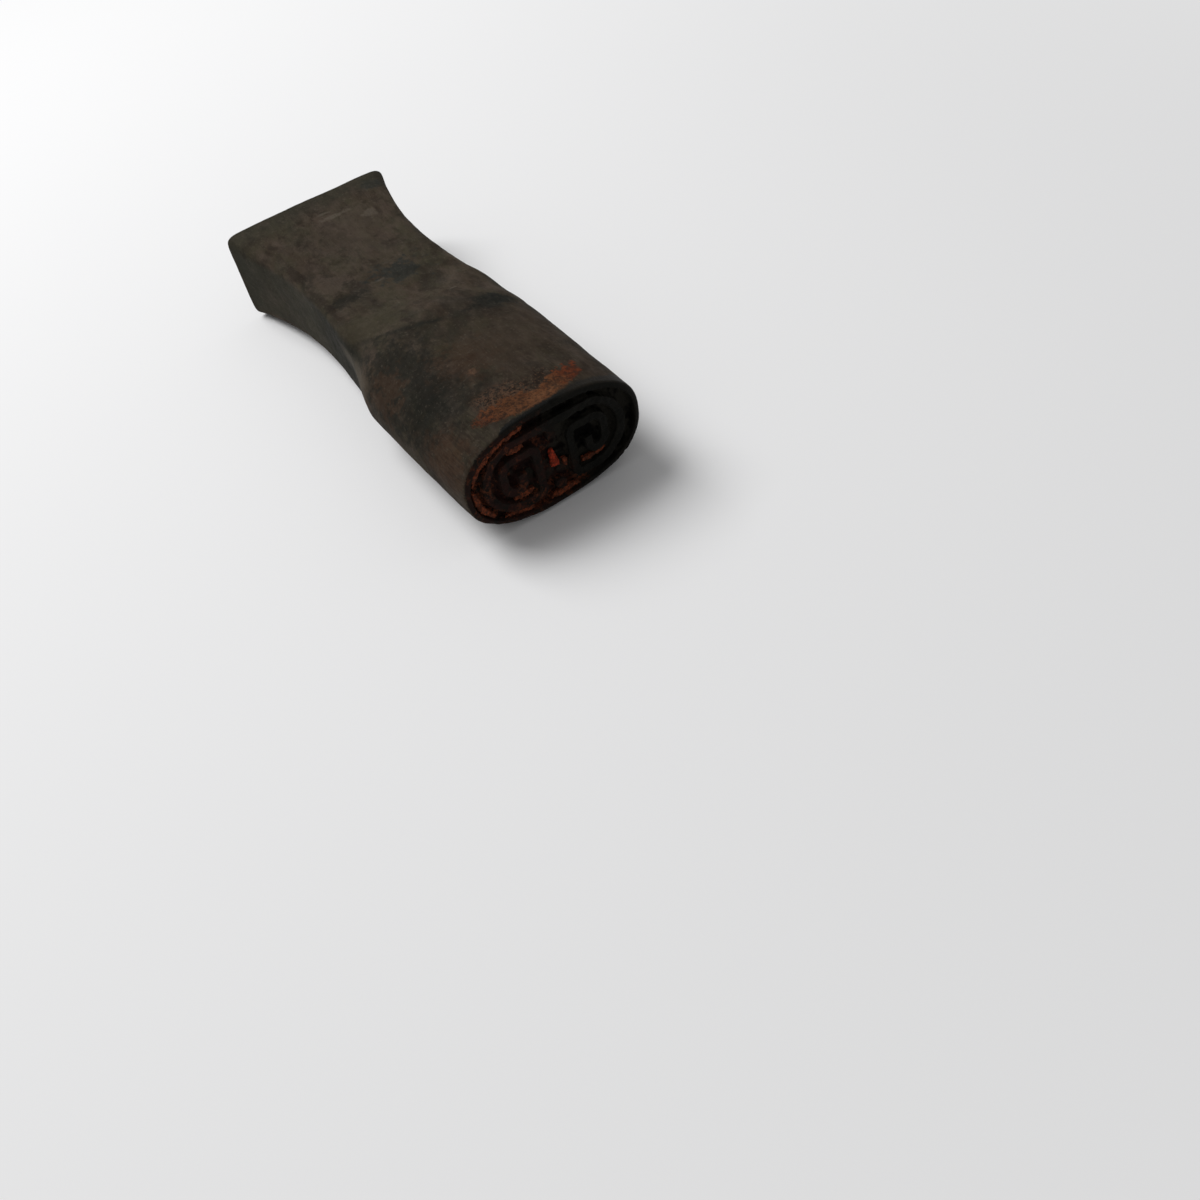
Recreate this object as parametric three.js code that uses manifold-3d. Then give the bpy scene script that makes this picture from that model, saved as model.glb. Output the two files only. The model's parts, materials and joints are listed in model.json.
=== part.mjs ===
// A hand-carved hardwood seal stamp, lying on its belly on a flat surface.
// It is cut from one block: a stubby oval body with the die in its face, and a flat waisted grip that
// flares to a rectangular butt. Dried seal paste is caked in the grooves of the die.
// Millimetres. The seal's own axis runs along Y from the die (towards -Y) to the butt (towards +Y), X runs
// across it and Z is up. The origin is on the resting surface, under the middle of the seal.
import * as THREE from "three";
import { LoftGeometry } from "three/addons/geometries/LoftGeometry.js";
import { mergeVertices } from "three/addons/utils/BufferGeometryUtils.js";
import Module from "manifold-3d";

const wasm = await Module();
wasm.setup();

// Lengths along the seal
const bodyLength = 36;
const shoulderToWaist = 31;
const waistToButt = 30;

// The oval body
const dieWidth = 35.6;
const dieHeight = 21.4;
const shoulderWidth = 37;
const shoulderHeight = 21.2;
const dieRimRadius = 0.8;
const bodyRoundness = 2.44;

// The grip
const neckWidth = 34.8;
const shoulderStepLength = 12;
const rightFill = 1.35;
const faceSlopeLength = 18;
const squaringLength = 18;
const waistWidth = 28.4;
const gripThickness = 15.8;
const buttWidth = 37.8;
const buttThickness = 19.7;
const buttEdgeRadius = 1.2;
const gripSquareness = 12;
const squaringDelay = 3;

// The relief carved in the die
const reliefDepth = 1.8;
const rimWidth = 1.3;
const strokeWidth = 1.7;
const sideGroove = 2.05;
const topGroove = 1.95;
const tightBendRadius = 1.3;
const pearlRadius = 1.2;

// The dried paste in the grooves
const pasteClearance = 0.25;
const ribbonWidth = 1;
const ribbonThickness = 0.9;
const ribbonTipShare = 0.35;
const crustThickness = 0.7;

// How finely the curves are cut
const sectionPoints = 48;
const rimSteps = 4;
const bodySteps = 8;
const gripSteps = 26;
const bendSteps = 8;
const pearlSteps = 20;
const ribbonSteps = 14;

const waistAt = bodyLength + shoulderToWaist;
const sealLength = waistAt + waistToButt;
const heelAt = sealLength - buttEdgeRadius;
const throughCut = 1;
const weldDistance = 1e-4;

// A smooth rise from 0 to 1.
function ease(t) {
  const s = THREE.MathUtils.clamp(t, 0, 1);
  return s * s * (3 - 2 * s);
}

// A number part of the way between two others.
function mix(from, to, share) {
  return from + (to - from) * share;
}

// How far a rounded edge of this radius draws in, at this depth under the face it rounds.
function edgeInset(radius, depth) {
  const below = Math.max(radius - depth, 0);
  return radius - Math.sqrt(Math.max(radius * radius - below * below, 0));
}

// How far the grip has flared at a distance from the die face, from 0 at the waist to 1 at the butt.
function flareAt(y) {
  return THREE.MathUtils.clamp((y - waistAt) / (heelAt - waistAt), 0, 1) ** 2;
}

// Half of the seal's width at a distance from the die face. The hollow of the waist is a shallow arc on
// each side of its narrowest place, and a short step carries it out to the shoulder.
function halfWidthAt(y) {
  if (y <= bodyLength) {
    return mix(dieWidth, shoulderWidth, Math.sin((y / bodyLength) * Math.PI * 0.5)) / 2;
  }
  if (y >= waistAt) {
    return mix(waistWidth, buttWidth, flareAt(y)) / 2;
  }
  const hollow = mix(waistWidth, neckWidth, ((waistAt - y) / shoulderToWaist) ** 2) / 2;
  const step = ease(1 - (y - bodyLength) / shoulderStepLength);
  return hollow + ((shoulderWidth - neckWidth) / 2) * step;
}

// How much wood the knife left standing on the right, where the shoulder step is filled to a soft slope.
function rightFillAt(y) {
  const middle = bodyLength + shoulderStepLength * 0.625;
  return rightFill * ease(1 - Math.abs(y - middle) / (shoulderStepLength * 0.75));
}

// Half of the seal's thickness at a distance from the die face.
function halfHeightAt(y) {
  const body = mix(dieHeight, shoulderHeight, Math.min(y / bodyLength, 1)) / 2;
  const grip = mix(gripThickness, buttThickness, flareAt(y)) / 2;
  return mix(body, grip, ease((y - bodyLength) / faceSlopeLength));
}

// The exponent of the outline: an oval at the die, nearly a rectangle along the grip.
function squarenessAt(y) {
  return mix(bodyRoundness, gripSquareness, ease((y - bodyLength) / squaringLength) ** squaringDelay);
}

// Points of a rounded outline, an oval whose corners fill out as its exponent grows.
function ovalPoints(halfWidth, halfHeight, exponent) {
  const points = [];
  for (let i = 0; i < sectionPoints; i++) {
    const angle = (i / sectionPoints) * Math.PI * 2;
    const c = Math.cos(angle);
    const s = Math.sin(angle);
    const x = halfWidth * Math.sign(c) * Math.abs(c) ** (2 / exponent);
    const z = halfHeight * Math.sign(s) * Math.abs(s) ** (2 / exponent);
    points.push(new THREE.Vector2(x, z));
  }
  return points;
}

// The places along the seal where its section is drawn, closer together at its rounded edges.
function stations() {
  const list = [];
  for (let i = 0; i < rimSteps; i++) {
    list.push(dieRimRadius * (1 - Math.cos((i / rimSteps) * Math.PI * 0.5)));
  }
  for (let i = 0; i < bodySteps; i++) {
    list.push(mix(dieRimRadius, bodyLength, i / bodySteps));
  }
  for (let i = 0; i < gripSteps; i++) {
    list.push(mix(bodyLength, heelAt, i / gripSteps));
  }
  for (let i = 0; i <= rimSteps; i++) {
    list.push(sealLength - buttEdgeRadius * (1 - Math.sin((i / rimSteps) * Math.PI * 0.5)));
  }
  return list;
}

// A closed solid from a three.js geometry.
function solidFrom(geometry) {
  const bare = new THREE.BufferGeometry();
  bare.setAttribute("position", geometry.getAttribute("position"));
  bare.setIndex(geometry.index);
  const merged = mergeVertices(bare, weldDistance);
  return new wasm.Manifold(
    new wasm.Mesh({
      numProp: 3,
      vertProperties: new Float32Array(merged.attributes.position.array),
      triVerts: new Uint32Array(merged.index.array),
    }),
  );
}

// A three.js geometry from a closed solid.
function geometryFrom(solid) {
  const mesh = solid.getMesh();
  const geometry = new THREE.BufferGeometry();
  geometry.setAttribute("position", new THREE.BufferAttribute(mesh.vertProperties, mesh.numProp));
  geometry.setIndex(new THREE.BufferAttribute(mesh.triVerts, 1));
  geometry.computeVertexNormals();
  return geometry;
}

// A flat outline in the plane of the die, pushed along the seal's axis from one depth to another.
function plate(points, fromDepth, toDepth) {
  const shape = new THREE.Shape(points);
  const geometry = new THREE.ExtrudeGeometry(shape, { depth: toDepth - fromDepth, bevelEnabled: false });
  geometry.rotateX(Math.PI / 2);
  geometry.translate(0, toDepth, 0);
  return solidFrom(geometry);
}

const recessHalfWidth = dieWidth / 2 - rimWidth;
const recessHalfHeight = dieHeight / 2 - rimWidth;

// The fret's strand winds up into a volute at each side of the die, the second one a mirror image of the
// first. Corners of the half that starts at the middle, in columns and rows of the fret's grid.
const fretCorners = [
  [0, 2],
  [4, 2],
  [4, -2],
  [1, -2],
  [1, 1],
  [3, 1],
  [3, -1],
  [2, -1],
  [2, 0],
];

// A stem hangs from the middle of the strand, and a pearl stands by itself below it.
const stemCorners = [
  [0, 2],
  [0, 1],
];
const pearlPlace = [0, -2];

// The grid fills the sunk field up to the border groove.
const fretColumns = Math.max(...fretCorners.map(([column]) => column));
const fretRows = Math.max(...fretCorners.map(([, row]) => row));
const columnPitch = (recessHalfWidth - sideGroove - strokeWidth / 2) / fretColumns;
const rowPitch = (recessHalfHeight - topGroove - strokeWidth / 2) / fretRows;

// A place in the plane of the die, from a column and a row of the fret's grid.
function gridPoint([column, row]) {
  return new THREE.Vector2(column * columnPitch, row * rowPitch);
}

// The bend at a corner of the strand. Each volute's end is one half round, so that it follows the oval round
// it, and the next column has what the short stroke leaves.
function bendRadius(corner) {
  const tight = Math.min(tightBendRadius, columnPitch / 2, rowPitch / 2);
  const column = Math.round(Math.abs(corner.x) / columnPitch);
  if (column === fretColumns) {
    return fretRows * rowPitch;
  }
  return column === fretColumns - 1 ? columnPitch - tight : tight;
}

// The fret's middle line with its corners rounded.
function fretLine() {
  const half = fretCorners.slice(1);
  const mirrored = half.map(([column, row]) => [-column, row]).reverse();
  const corners = [...mirrored, ...half].map(gridPoint);
  const line = [corners[0]];
  for (let i = 1; i < corners.length - 1; i++) {
    const corner = corners[i];
    const radius = bendRadius(corner);
    const into = corner.clone().sub(corners[i - 1]).normalize();
    const out = corners[i + 1].clone().sub(corner).normalize();
    const centre = corner.clone().addScaledVector(into, -radius).addScaledVector(out, radius);
    for (let k = 0; k <= bendSteps; k++) {
      const angle = (k / bendSteps) * Math.PI * 0.5;
      const point = centre.clone();
      point.addScaledVector(out, -radius * Math.cos(angle));
      point.addScaledVector(into, radius * Math.sin(angle));
      if (point.distanceTo(line[line.length - 1]) > weldDistance) {
        line.push(point);
      }
    }
  }
  line.push(corners[corners.length - 1]);
  return line;
}

// The outline of a stroke of this width drawn along a line, its ends cut square.
function strokeOutline(line, width) {
  const left = [];
  const right = [];
  line.forEach((point, i) => {
    const before = line[Math.max(i - 1, 0)];
    const after = line[Math.min(i + 1, line.length - 1)];
    const into = point.clone().sub(before).normalize();
    const out = after.clone().sub(point).normalize();
    const along = into.add(out).normalize();
    const across = new THREE.Vector2(-along.y, along.x);
    const turn = i > 0 && i < line.length - 1 ? across.dot(new THREE.Vector2(-out.y, out.x)) : 1;
    left.push(point.clone().addScaledVector(across, width / 2 / turn));
    right.push(point.clone().addScaledVector(across, -width / 2 / turn));
  });
  return [...left, ...right.reverse()];
}

// The sunk field of the die, drawn in by a margin.
function field(fromDepth, toDepth, margin) {
  const outline = ovalPoints(recessHalfWidth - margin, recessHalfHeight - margin, bodyRoundness);
  return plate(outline, fromDepth, toDepth);
}

// The raised fret, made wider by a margin on each side.
function fret(fromDepth, toDepth, margin) {
  const width = strokeWidth + 2 * margin;
  const strand = plate(strokeOutline(fretLine(), width), fromDepth, toDepth);
  const stem = plate(strokeOutline(stemCorners.map(gridPoint), width), fromDepth, toDepth);
  const place = gridPoint(pearlPlace);
  const round = new THREE.EllipseCurve(place.x, place.y, pearlRadius + margin, pearlRadius + margin);
  const pearl = plate(round.getPoints(pearlSteps).slice(1), fromDepth, toDepth);
  return strand.add(stem).add(pearl);
}

// The block of wood: body, grip and butt in one loft, with the field of the die cut away round the fret.
function sealBlock() {
  const sections = stations().map((y) => {
    const inset = edgeInset(dieRimRadius, y) + edgeInset(buttEdgeRadius, sealLength - y);
    const halfWidth = halfWidthAt(y) - inset;
    const outline = ovalPoints(halfWidth, halfHeightAt(y) - inset, squarenessAt(y));
    const fuller = 1 + rightFillAt(y) / halfWidth;
    return outline.map((p) => new THREE.Vector3(p.x < 0 ? -p.x * fuller : -p.x, y, p.y));
  });
  const blank = solidFrom(new LoftGeometry(sections, { capStart: true, capEnd: true }));
  const waste = field(-throughCut, reliefDepth, 0).subtract(fret(-throughCut, reliefDepth, 0));
  return geometryFrom(blank.subtract(waste));
}

// A crust of dried paste: its outline trimmed to the grooves it lies in.
function crust(outline, thickness) {
  const floor = reliefDepth - pasteClearance;
  const lump = plate(outline, floor - thickness, floor);
  const room = field(-throughCut, reliefDepth, pasteClearance);
  const trimmed = lump.intersect(room).subtract(fret(-throughCut, reliefDepth, pasteClearance));
  return geometryFrom(trimmed);
}

// A place on the edge of the sunk field drawn in by a margin, in the direction of an angle.
function fieldEdge(angle, margin) {
  const c = Math.abs(Math.cos(angle) / (recessHalfWidth - margin)) ** bodyRoundness;
  const s = Math.abs(Math.sin(angle) / (recessHalfHeight - margin)) ** bodyRoundness;
  const radius = (c + s) ** (-1 / bodyRoundness);
  return new THREE.Vector2(Math.cos(angle) * radius, Math.sin(angle) * radius);
}

// The outline of a crust along the border groove, between two angles in degrees, tapering to its ends.
function ribbonOutline(fromAngle, toAngle) {
  const outer = [];
  const inner = [];
  for (let i = 0; i <= ribbonSteps; i++) {
    const share = i / ribbonSteps;
    const angle = THREE.MathUtils.degToRad(mix(fromAngle, toAngle, share));
    const width = ribbonWidth * mix(ribbonTipShare, 1, Math.sqrt(Math.sin(share * Math.PI)));
    outer.push(fieldEdge(angle, pasteClearance));
    inner.push(fieldEdge(angle, pasteClearance + width));
  }
  return [...outer, ...inner.reverse()];
}

// The crusts along the border groove, each between two angles in degrees.
const ribbons = [
  { name: "paste_border_upper_left", fromAngle: 118, toAngle: 172 },
  { name: "paste_border_left", fromAngle: 176, toAngle: 204 },
  { name: "paste_border_lower_left", fromAngle: 212, toAngle: 236 },
  { name: "paste_border_bottom", fromAngle: 256, toAngle: 292 },
];

// The crusts between two strokes, each with its corners in columns and rows of the fret's grid.
const patches = [
  { name: "paste_upper_left_chip", corners: [[-2.5, 1.3], [-2.2, 1.72], [-1.55, 1.66], [-1.5, 1.34]] },
  { name: "paste_lower_left_chip", corners: [[-2.75, -1.7], [-2.6, -1.3], [-1.5, -1.35], [-1.7, -1.7]] },
  { name: "paste_centre_wedge", corners: [[-0.2, 0.25], [0.02, 0.2], [0.22, -0.95], [-0.28, -0.8]] },
  { name: "paste_centre_chip", corners: [[0.42, -0.6], [0.68, -0.75], [0.6, -1.25], [0.44, -1.1]] },
  { name: "paste_lower_right_streak", corners: [[1.45, -1.62], [1.5, -1.38], [3.0, -1.36], [2.9, -1.6]] },
];

// How the seal lies: it leans on its belly at the shoulder and on the lower edge of its butt.
const bellyAt = bodyLength;
const lean = Math.atan2(halfHeightAt(bellyAt) - halfHeightAt(heelAt), heelAt - bellyAt);
const restHeight = halfHeightAt(bellyAt) * Math.cos(lean) + bellyAt * Math.sin(lean);

const wood = new THREE.MeshStandardMaterial({ color: 0x38332d, roughness: 0.72, metalness: 0 });
const driedPaste = new THREE.MeshStandardMaterial({ color: 0xa8442a, roughness: 0.9, metalness: 0 });

const seal = new THREE.Group();
seal.rotation.x = -lean;

function addPiece(name, geometry, material) {
  const mesh = new THREE.Mesh(geometry, material);
  mesh.name = name;
  seal.add(mesh);
}

addPiece("seal_block", sealBlock(), wood);
for (const { name, fromAngle, toAngle } of ribbons) {
  addPiece(name, crust(ribbonOutline(fromAngle, toAngle), ribbonThickness), driedPaste);
}
for (const { name, corners } of patches) {
  addPiece(name, crust(corners.map(gridPoint), crustThickness), driedPaste);
}

const part = new THREE.Group();
part.add(seal);
seal.position.z = restHeight;
seal.updateMatrixWorld(true);
const footprint = new THREE.Box3().setFromObject(seal, true);
seal.position.y = -(footprint.min.y + footprint.max.y) / 2;
seal.position.z -= footprint.min.z;

export default part;
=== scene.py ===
# %% [markdown]
# # A hand-carved seal stamp
#
# The real thing is one small block of dark hardwood, about as long as a finger. Its round end is the body,
# with a relief die cut into the face. The other end is a flat grip with a waist that widens to a
# rectangular butt. Years of ink and handling have turned the wood nearly black, and red seal paste has
# dried in the grooves of the die.
#
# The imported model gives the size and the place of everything. This lesson dresses it: a finer block, lumpy
# crusts of paste, and the finishes.

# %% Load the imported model
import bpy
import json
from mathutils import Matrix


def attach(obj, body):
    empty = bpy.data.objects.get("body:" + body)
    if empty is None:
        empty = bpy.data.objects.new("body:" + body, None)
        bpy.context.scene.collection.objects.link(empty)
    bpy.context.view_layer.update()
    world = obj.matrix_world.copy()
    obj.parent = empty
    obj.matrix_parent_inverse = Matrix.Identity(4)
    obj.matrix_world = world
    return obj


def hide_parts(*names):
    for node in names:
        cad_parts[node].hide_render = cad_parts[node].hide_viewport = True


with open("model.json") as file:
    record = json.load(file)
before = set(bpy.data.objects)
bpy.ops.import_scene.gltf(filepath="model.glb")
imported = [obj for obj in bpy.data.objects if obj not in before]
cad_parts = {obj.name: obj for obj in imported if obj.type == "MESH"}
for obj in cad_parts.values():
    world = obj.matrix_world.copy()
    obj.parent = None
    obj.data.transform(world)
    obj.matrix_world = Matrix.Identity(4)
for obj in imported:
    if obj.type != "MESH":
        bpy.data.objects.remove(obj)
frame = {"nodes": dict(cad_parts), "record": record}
print("nodes:", sorted(frame["nodes"]))

# %% Tools of the trade
import json
import math

import bpy
from mathutils import Matrix, Vector

MM = 0.001
MM_PER_METRE = 1000
bpy.context.view_layer.update()

# %% [markdown]
# ## The seal's own axes
#
# The seal lies a little nose-up on its belly, so its own axis isn't quite level. It is easiest to model it
# straight and lay it down at the end. The record's mount is the flat butt: its point and its direction say
# where the seal's axis leaves the wood. From here on x runs across the seal, y runs from the die's face to
# the butt, and z goes up through its thickness.

# %% Where the seal lies
BODY_LENGTH = 36 * MM
SHOULDER_TO_WAIST = 31 * MM
WAIST_TO_BUTT = 30 * MM
SEAL_LENGTH = BODY_LENGTH + SHOULDER_TO_WAIST + WAIST_TO_BUTT

butt_mount = frame["record"]["mounts"][0]
along = Vector(butt_mount["axis"]).normalized()
across = Vector((1, 0, 0))
up = across.cross(along)
face_centre = Vector(butt_mount["pos_m"]) - along * SEAL_LENGTH
SEAL_TO_PART = Matrix.Translation(face_centre) @ Matrix((across, along, up)).transposed().to_4x4()
print("centre of the die face in mm:", [round(v / MM, 2) for v in face_centre])

# %% [markdown]
# ## Formulas in node trees
#
# The block's outline follows a rule, and so do many of its stains. A rule in a node tree is a long chain of
# Math nodes, which is hard to read when it is wired by hand. A small class that turns `a + b * c` into Math
# nodes keeps each rule as short as it is on paper. It works for geometry and for shaders.

# %% Terms that can be used in formulas
class Term:
    """An output of a node, with the tree it is in. Where it is a number, formulas can use it."""

    def __init__(self, tree, socket):
        self.tree = tree
        self.socket = socket

    def __add__(self, other):
        return calc("ADD", self, other)

    def __radd__(self, other):
        return calc("ADD", other, self)

    def __sub__(self, other):
        return calc("SUBTRACT", self, other)

    def __rsub__(self, other):
        return calc("SUBTRACT", other, self)

    def __mul__(self, other):
        return calc("MULTIPLY", self, other)

    def __rmul__(self, other):
        return calc("MULTIPLY", other, self)

    def __truediv__(self, other):
        return calc("DIVIDE", self, other)

    def __rtruediv__(self, other):
        return calc("DIVIDE", other, self)

    def __pow__(self, other):
        return calc("POWER", self, other)


print("signs that a term knows: + - * / **")


# %% Tools that add and wire nodes
def plug(tree, value, socket):
    """Links a term or an output to an input, or writes a plain value into it."""
    if isinstance(value, Term):
        tree.links.new(value.socket, socket)
    elif isinstance(value, bpy.types.NodeSocket):
        tree.links.new(value, socket)
    else:
        socket.default_value = value


def fill(tree, node, inputs):
    """Plugs values into a node's inputs, named or numbered."""
    for name, value in inputs.items():
        plug(tree, value, node.inputs[name])


def put(tree, kind, inputs=None, **settings):
    """Adds a node, sets its options and fills its inputs."""
    made = tree.nodes.new(kind)
    for name, value in settings.items():
        setattr(made, name, value)
    fill(tree, made, inputs or {})
    return made


def first(tree, kind, inputs=None, **settings):
    """The first output of a new node, as a term."""
    return Term(tree, put(tree, kind, inputs, **settings).outputs[0])


def calc(operation, *values, clamp=False):
    """One Math node on terms and plain numbers."""
    tree = next(value.tree for value in values if isinstance(value, Term))
    inputs = dict(enumerate(values))
    return first(tree, "ShaderNodeMath", inputs, operation=operation, use_clamp=clamp)


def vector(tree, x=0, y=0, z=0):
    """A vector from three numbers or terms."""
    return first(tree, "ShaderNodeCombineXYZ", {"X": x, "Y": y, "Z": z})


def axes_of(place):
    """The x, y and z of a place, as terms."""
    split = put(place.tree, "ShaderNodeSeparateXYZ", {0: place})
    return [Term(place.tree, socket) for socket in split.outputs]


print("node tools are ready")


# %% Functions that formulas use
def clamped(term):
    return calc("ADD", term, 0, clamp=True)


def ease(term):
    """A smooth rise from 0 to 1."""
    s = clamped(term)
    return s * s * (3 - 2 * s)


def rise(term, start, end):
    """0 up to start, 1 from end on, and smooth between them."""
    return ease((term - start) / (end - start))


def fall(term, start, end):
    """1 up to start, 0 from end on, and smooth between them."""
    return 1 - rise(term, start, end)


def mix(low, high, share):
    return low + (high - low) * share


def size_of(term):
    return calc("ABSOLUTE", term)


def larger(a, b):
    return calc("MAXIMUM", a, b)


print("formulas can use clamped, ease, rise, fall, mix, size_of and larger")

# %% [markdown]
# ## Trees with named inputs
#
# A node tree is a small machine. Its inputs have names, so that a size can be turned in the modifier panel
# later. A modifier stores each input under the socket's identifier, not its name. `add_maker` looks that up.

# %% Node trees
SOCKET_TYPES = {int: "NodeSocketInt", float: "NodeSocketFloat"}


def new_tree(kind, name, inputs, outputs):
    """A node tree with named inputs and outputs: the tree, its inputs as terms, and its output node."""
    tree = bpy.data.node_groups.new(name, kind)
    for label, value in inputs.items():
        if isinstance(value, str):
            tree.interface.new_socket(label, in_out="INPUT", socket_type=value)
        else:
            socket_type = SOCKET_TYPES[type(value)]
            tree.interface.new_socket(label, in_out="INPUT", socket_type=socket_type).default_value = value
    for label, socket_type in outputs.items():
        tree.interface.new_socket(label, in_out="OUTPUT", socket_type=socket_type)
    source = tree.nodes.new("NodeGroupInput")
    given = {label: Term(tree, source.outputs[label]) for label in inputs}
    return tree, given, tree.nodes.new("NodeGroupOutput")


def new_maker(name, inputs):
    """A Geometry Nodes tree that takes a geometry and gives one back."""
    inputs = {"Geometry": "NodeSocketGeometry", **inputs}
    return new_tree("GeometryNodeTree", name, inputs, {"Geometry": "NodeSocketGeometry"})


print("kinds of tree inputs:", list(SOCKET_TYPES.values()))


# %% Pieces and their modifiers
def add_maker(piece, tree, **values):
    """Puts a tree on a piece as a modifier and sets its inputs, written with _ for each space."""
    modifier = piece.modifiers.new(tree.name, "NODES")
    modifier.node_group = tree
    for item in tree.interface.items_tree:
        key = item.name.replace(" ", "_")
        if item.in_out == "INPUT" and key in values:
            modifier[item.identifier] = values[key]
    return modifier


def drop_empty_slots(mesh):
    """Removes material slots with nothing in them. No face may use one."""
    used = [0] * len(mesh.polygons)
    mesh.polygons.foreach_get("material_index", used)
    kept = [index for index, material in enumerate(mesh.materials) if material]
    finishes = [mesh.materials[index] for index in kept]
    mesh.materials.clear()
    for finish in finishes:
        mesh.materials.append(finish)
    mesh.polygons.foreach_set("material_index", [kept.index(index) for index in used])


def settle(piece, place=None):
    """Turns what the modifiers make into the piece's plain mesh, and removes the modifiers."""
    graph = bpy.context.evaluated_depsgraph_get()
    mesh = bpy.data.meshes.new_from_object(piece.evaluated_get(graph))
    piece.modifiers.clear()
    mesh.name = piece.name
    piece.data = mesh
    drop_empty_slots(mesh)
    if place:
        mesh.transform(place)
    return piece


def new_piece(name, data=None):
    piece = bpy.data.objects.new(name, data or bpy.data.meshes.new(name))
    bpy.context.scene.collection.objects.link(piece)
    return piece


def triangles(piece):
    return sum(len(face.vertices) - 2 for face in piece.data.polygons)


print("piece tools are ready")

# %% [markdown]
# ## The fret of the die
#
# The die prints one raised strand that winds up into a volute on each side, a traditional scroll, with a
# stem and a pearl between them. The strand follows a path, so it is a curve with its corners filleted, and
# Curve to Mesh sweeps a section along it. The section is a trapezoid, because a carver leaves the foot of a
# stroke wider than its top, so that it doesn't break off.

# %% Sizes of the die
DIE_WIDTH = 35.6 * MM
DIE_HEIGHT = 21.4 * MM
BODY_ROUNDNESS = 2.44
RELIEF_DEPTH = 1.8 * MM
RIM_WIDTH = 1.3 * MM
STROKE_WIDTH = 1.7 * MM
SIDE_GROOVE = 2.05 * MM
TOP_GROOVE = 1.95 * MM
TIGHT_BEND = 1.3 * MM
PEARL_RADIUS = 1.2 * MM
FRET_COLUMNS = 4
FRET_ROWS = 2

field_half_width = DIE_WIDTH / 2 - RIM_WIDTH
field_half_height = DIE_HEIGHT / 2 - RIM_WIDTH
column_pitch = (field_half_width - SIDE_GROOVE - STROKE_WIDTH / 2) / FRET_COLUMNS
row_pitch = (field_half_height - TOP_GROOVE - STROKE_WIDTH / 2) / FRET_ROWS
print("fret grid in mm:", round(column_pitch / MM, 3), "by", round(row_pitch / MM, 3))

# %% The strand's path
HALF_STRAND = [(4, 2), (4, -2), (1, -2), (1, 1), (3, 1), (3, -1), (2, -1), (2, 0)]
STEM = [(0, 2), (0, 1)]
PEARL = (0, -2)


def bend_at(column):
    """The bend at a corner: one half round at each end of the fret, and tighter ones inside it."""
    if abs(column) == FRET_COLUMNS:
        return FRET_ROWS * row_pitch
    if abs(column) == FRET_COLUMNS - 1:
        return column_pitch - TIGHT_BEND
    return TIGHT_BEND


def draw_path(name, strokes):
    """A curve with one straight-sided spline for each stroke, and each corner's bend as its radius."""
    curve = bpy.data.curves.new(name, "CURVE")
    curve.dimensions = "3D"
    for corners in strokes:
        spline = curve.splines.new("POLY")
        spline.points.add(len(corners) - 1)
        for point, (column, row) in zip(spline.points, corners):
            point.co = (column * column_pitch, row * row_pitch, 0, 1)
            point.radius = bend_at(column)
    return new_piece(name, curve)


mirrored_half = [(-column, row) for column, row in reversed(HALF_STRAND)]
fret = draw_path("fret_path", [mirrored_half + HALF_STRAND, STEM])
print("strokes of the fret:", len(fret.data.splines))

# %% The tree that sweeps the strand
WALL_DRAFT = 0.22 * MM
FOOT_DEPTH = 0.4 * MM
BEND_STEPS = 12
PEARL_STEPS = 40
QUARTER_TURN = math.pi / 2


def joined(tree, *parts):
    """Several geometries as one."""
    join = put(tree, "GeometryNodeJoinGeometry")
    for part in parts:
        plug(tree, part, join.inputs[0])
    return join.outputs[0]


def fret_tree():
    inputs = {
        "Stroke width": STROKE_WIDTH,
        "Relief depth": RELIEF_DEPTH,
        "Wall draft": WALL_DRAFT,
        "Pearl radius": PEARL_RADIUS,
        "Bend steps": BEND_STEPS,
    }
    tree, given, out = new_maker("carved_fret", inputs)
    radius = first(tree, "GeometryNodeInputRadius")
    bent = first(tree, "GeometryNodeFilletCurve", {"Curve": given["Geometry"], "Count": given["Bend steps"],
                                                   "Radius": radius, "Limit Radius": True}, mode="POLY")
    even = first(tree, "GeometryNodeSetCurveRadius", {"Curve": bent, "Radius": 1.0})
    level = first(tree, "GeometryNodeSetCurveNormal", {"Curve": even}, mode="Z_UP")
    depth = given["Relief depth"] + FOOT_DEPTH
    foot = given["Stroke width"] + 2 * given["Wall draft"] * (depth / given["Relief depth"])
    section = first(tree, "GeometryNodeCurvePrimitiveQuadrilateral",
                    {"Height": depth, "Bottom Width": given["Stroke width"], "Top Width": foot,
                     "Offset": 0.0}, mode="TRAPEZOID")
    strand = first(tree, "GeometryNodeCurveToMesh",
                   {"Curve": level, "Profile Curve": section, "Fill Caps": True})
    flare = given["Pearl radius"] + given["Wall draft"]
    pearl = first(tree, "GeometryNodeMeshCone",
                  {"Vertices": PEARL_STEPS, "Radius Top": given["Pearl radius"], "Radius Bottom": flare,
                   "Depth": depth})
    place = vector(tree, PEARL[0] * column_pitch, PEARL[1] * row_pitch, depth * -0.5)
    set_down = first(tree, "GeometryNodeTransform", {"Geometry": pearl, "Translation": place})
    both = joined(tree, set_down, strand)
    stand = first(tree, "GeometryNodeTransform", {"Geometry": both, "Rotation": (QUARTER_TURN, 0, 0),
                                                  "Translation": vector(tree, y=depth * 0.5)})
    plug(tree, stand, out.inputs[0])
    return tree


add_maker(fret, fret_tree())
print("fret tree nodes:", len(bpy.data.node_groups["carved_fret"].nodes))

# %% [markdown]
# ## The block as a rule
#
# The block could be modelled by hand from a cylinder, but its shape follows a rule. Every section is an
# oval whose width, thickness and squareness change along the seal. So the tree starts with a plain
# cylinder and moves each of its points to where the rule puts it. On a cylinder of radius 1 the point's
# own x and y are the cosine and the sine that the oval needs. A second cylinder becomes the sunk field,
# with walls that draw in towards its floor, and a Mesh Boolean takes it away.

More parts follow.
